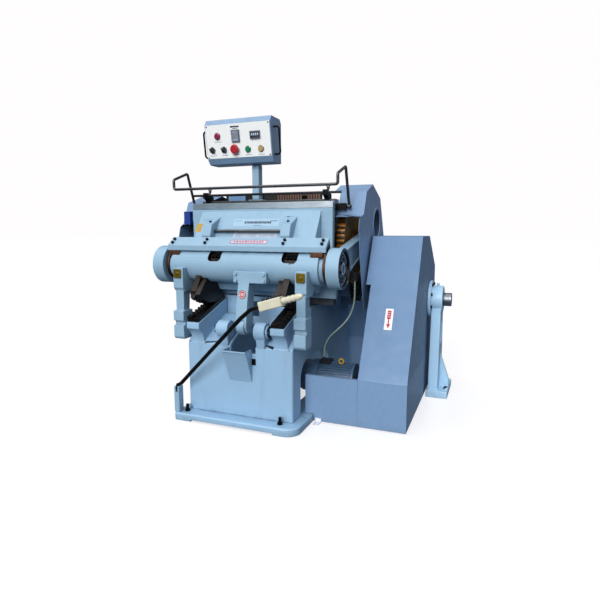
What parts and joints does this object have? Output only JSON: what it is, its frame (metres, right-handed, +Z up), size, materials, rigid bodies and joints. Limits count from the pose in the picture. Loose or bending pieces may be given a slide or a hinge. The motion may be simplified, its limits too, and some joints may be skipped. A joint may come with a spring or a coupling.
{
  "type": "platen die cutting press",
  "caption": "Hand-fed platen press for die cutting and creasing: rolling platen on toothed ways, upright bed and chase, geared crank drive, flywheel guard, motor and swivel control box.",
  "frame": {"origin": "floor level, under the middle of the base's front wall", "axes": "+X to the operator's right, +Y away from the operator, +Z up"},
  "size_m": [2.053, 1.9501, 2.15],
  "materials": {
    "casting_blue": "semi-gloss machine enamel, pale blue",
    "sheet_blue": "grey-blue enamel",
    "cover_grey": "darker grey-blue enamel",
    "machined_steel": "ground",
    "dark_steel": "oiled, dark",
    "black_parts": "black oxide",
    "brass": "worn",
    "gear_yellow": "yellow gear paint",
    "rubber_black": "matt",
    "handle_cream": "moulded, cream",
    "switch_blue": "gloss",
    "button_black": "gloss",
    "button_red": "gloss",
    "button_green": "gloss",
    "button_tan": "gloss",
    "panel_white": "satin white",
    "cable_grey": "PVC sheath",
    "motor_grey": "painted fins"
  },
  "bodies": {
    "frame": {"base_plate": "casting_blue", "base_housing": "casting_blue", "side_frame_left": "casting_blue", "side_frame_right": "casting_blue", "frame_bearings": "casting_blue", "bed_casting": "casting_blue", "bed_plate": "machined_steel", "chase": "dark_steel", "toothed_ways": "dark_steel", "oil_catch_box": "casting_blue", "base_bolts": "black_parts", "v_belts": "rubber_black", "belt_guard": "sheet_blue", "gear_cover_right": "cover_grey", "gear_cover_left": "cover_grey", "motor_body": "motor_grey", "motor_fan_cover": "motor_grey", "outboard_pedestal": "casting_blue", "outboard_bearing": "casting_blue", "power_cable": "cable_grey", "cable_glands": "motor_grey", "control_post": "casting_blue", "chase_clamps": "dark_steel", "gate_brackets": "machined_steel", "limit_switch": "switch_blue", "lever_bracket": "casting_blue"},
    "cross_shaft": {"cross_shaft": "machined_steel"},
    "platen": {"platen_casting": "casting_blue", "platen_top_strip": "machined_steel", "cutting_plate": "machined_steel", "gear_sectors": "dark_steel", "guide_arms": "casting_blue", "brass_shoes": "brass", "center_bracket": "casting_blue", "platen_hardware": "machined_steel"},
    "center_roller": {"center_roller": "machined_steel"},
    "throw_off_yoke": {"throw_off_yoke": "casting_blue"},
    "draw_bars": {"draw_bars": "casting_blue"},
    "crank_gears": {"crank_gears": "gear_yellow", "crank_shaft": "machined_steel"},
    "intermediate_shaft": {"intermediate_shaft": "machined_steel"},
    "drive_shaft": {"drive_shaft": "machined_steel"},
    "flywheel": {"flywheel": "cover_grey"},
    "motor_rotor": {"motor_pulley": "machined_steel"},
    "clutch_lever": {"clutch_lever": "black_parts", "lever_handle": "handle_cream"},
    "safety_gate": {"safety_gate": "machined_steel"},
    "control_box": {"control_box_shell": "sheet_blue", "control_panel": "panel_white"},
    "emergency_stop": {"emergency_stop": "button_red"},
    "start_button": {"start_button": "button_green"},
    "jog_button": {"jog_button": "button_tan"},
    "selector_left": {"selector_left": "button_black"},
    "selector_right": {"selector_right": "button_black"},
    "clamp_screw_left": {"clamp_screw_left": "dark_steel"},
    "clamp_screw_right": {"clamp_screw_right": "dark_steel"},
    "lever_button_1": {"lever_button_1": "button_black"},
    "lever_button_2": {"lever_button_2": "button_black"},
    "lever_button_3": {"lever_button_3": "button_black"},
    "lever_button_4": {"lever_button_4": "button_black"}
  },
  "joints": [
    {"name": "platen_travel", "type": "slide", "parent": "frame", "child": "cross_shaft", "axis": [0, 0.9511, 0.309], "range_m": [-0.21677, 0]},
    {"name": "platen_tilt", "type": "hinge", "parent": "cross_shaft", "child": "platen", "pos_m": [0, 0.16, 1.09], "axis": [1, 0, 0], "range_deg": [0, 46.1]},
    {"name": "center_roller_spin", "type": "hinge", "parent": "platen", "child": "center_roller", "pos_m": [0.041, 0.02, 0.69], "axis": [1, 0, 0], "continuous": true},
    {"name": "throw_off_tilt", "type": "hinge", "parent": "platen", "child": "throw_off_yoke", "pos_m": [0, 0.16, 1.09], "axis": [1, 0, 0], "range_deg": [0, 20]},
    {"name": "draw_bar_swing", "type": "hinge", "parent": "cross_shaft", "child": "draw_bars", "pos_m": [0, 0.16, 1.09], "axis": [1, 0, 0], "range_deg": [0, 1.2]},
    {"name": "crank_turn", "type": "hinge", "parent": "frame", "child": "crank_gears", "pos_m": [0, 0.8, 1.25], "axis": [1, 0, 0], "range_deg": [0, 180.1]},
    {"name": "intermediate_turn", "type": "hinge", "parent": "frame", "child": "intermediate_shaft", "pos_m": [0, 0.96315, 0.8695], "axis": [1, 0, 0], "range_deg": [-648.5, 0]},
    {"name": "drive_turn", "type": "hinge", "parent": "frame", "child": "drive_shaft", "pos_m": [0, 1.22, 0.78], "axis": [1, 0, 0], "range_deg": [0, 1801]},
    {"name": "flywheel_spin", "type": "hinge", "parent": "frame", "child": "flywheel", "pos_m": [0.9275, 1.22, 0.78], "axis": [1, 0, 0], "continuous": true},
    {"name": "motor_spin", "type": "hinge", "parent": "frame", "child": "motor_rotor", "pos_m": [0.885, 0.5, 0.25], "axis": [1, 0, 0], "continuous": true},
    {"name": "clutch_lever_tilt", "type": "hinge", "parent": "frame", "child": "clutch_lever", "pos_m": [-0.45, -0.068, 0.228], "axis": [1, 0, 0], "range_deg": [0, 20]},
    {"name": "gate_lift", "type": "hinge", "parent": "frame", "child": "safety_gate", "pos_m": [0.635, 0.5, 1.505], "axis": [1, 0, 0], "range_deg": [-40, 0]},
    {"name": "control_box_swivel", "type": "hinge", "parent": "frame", "child": "control_box", "pos_m": [-0.105, 0.541, 1.827], "axis": [0, 0, 1], "range_deg": [-30, 30]},
    {"name": "emergency_stop_press", "type": "slide", "parent": "control_box", "child": "emergency_stop", "axis": [0, 0.9853, 0.171], "range_m": [0, 0.0035], "stiffness_N_per_m": 900, "springref_m": -0.004},
    {"name": "start_button_press", "type": "slide", "parent": "control_box", "child": "start_button", "axis": [0, 0.9853, 0.171], "range_m": [0, 0.0035], "stiffness_N_per_m": 400, "springref_m": -0.004},
    {"name": "jog_button_press", "type": "slide", "parent": "control_box", "child": "jog_button", "axis": [0, 0.9853, 0.171], "range_m": [0, 0.0035], "stiffness_N_per_m": 400, "springref_m": -0.004},
    {"name": "selector_left_turn", "type": "hinge", "parent": "control_box", "child": "selector_left", "pos_m": [-0.408, 0.39903, 1.93233], "axis": [0, -0.9853, -0.171], "range_deg": [-45, 45]},
    {"name": "selector_right_turn", "type": "hinge", "parent": "control_box", "child": "selector_right", "pos_m": [-0.309, 0.39937, 1.93036], "axis": [0, -0.9853, -0.171], "range_deg": [-45, 45]},
    {"name": "clamp_screw_left_turn", "type": "hinge", "parent": "frame", "child": "clamp_screw_left", "pos_m": [-0.485, 0.478, 1.605], "axis": [0, 0, 1], "continuous": true},
    {"name": "clamp_screw_right_turn", "type": "hinge", "parent": "frame", "child": "clamp_screw_right", "pos_m": [0.485, 0.478, 1.605], "axis": [0, 0, 1], "continuous": true},
    {"name": "lever_button_1_press", "type": "slide", "parent": "clutch_lever", "child": "lever_button_1", "axis": [0.2845, -0.0212, -0.9584], "range_m": [0, 0.004], "stiffness_N_per_m": 300, "springref_m": -0.004},
    {"name": "lever_button_2_press", "type": "slide", "parent": "clutch_lever", "child": "lever_button_2", "axis": [0.2845, -0.0212, -0.9584], "range_m": [0, 0.004], "stiffness_N_per_m": 300, "springref_m": -0.004},
    {"name": "lever_button_3_press", "type": "slide", "parent": "clutch_lever", "child": "lever_button_3", "axis": [0.2845, -0.0212, -0.9584], "range_m": [0, 0.004], "stiffness_N_per_m": 300, "springref_m": -0.004},
    {"name": "lever_button_4_press", "type": "slide", "parent": "clutch_lever", "child": "lever_button_4", "axis": [0.2845, -0.0212, -0.9584], "range_m": [0, 0.004], "stiffness_N_per_m": 300, "springref_m": -0.004}
  ],
  "couplings": [
    {"joint": "platen_tilt", "follows": "platen_travel", "rad_per_m": -3.7037},
    {"joint": "draw_bar_swing", "follows": "platen_travel", "rad_per_m": -0.078907},
    {"joint": "crank_turn", "follows": "platen_travel", "rad_per_m": -14.493},
    {"joint": "intermediate_turn", "follows": "platen_travel", "rad_per_m": 52.174},
    {"joint": "drive_turn", "follows": "platen_travel", "rad_per_m": -144.93},
    {"joint": "motor_spin", "follows": "flywheel_spin", "ratio": 6.25}
  ]
}
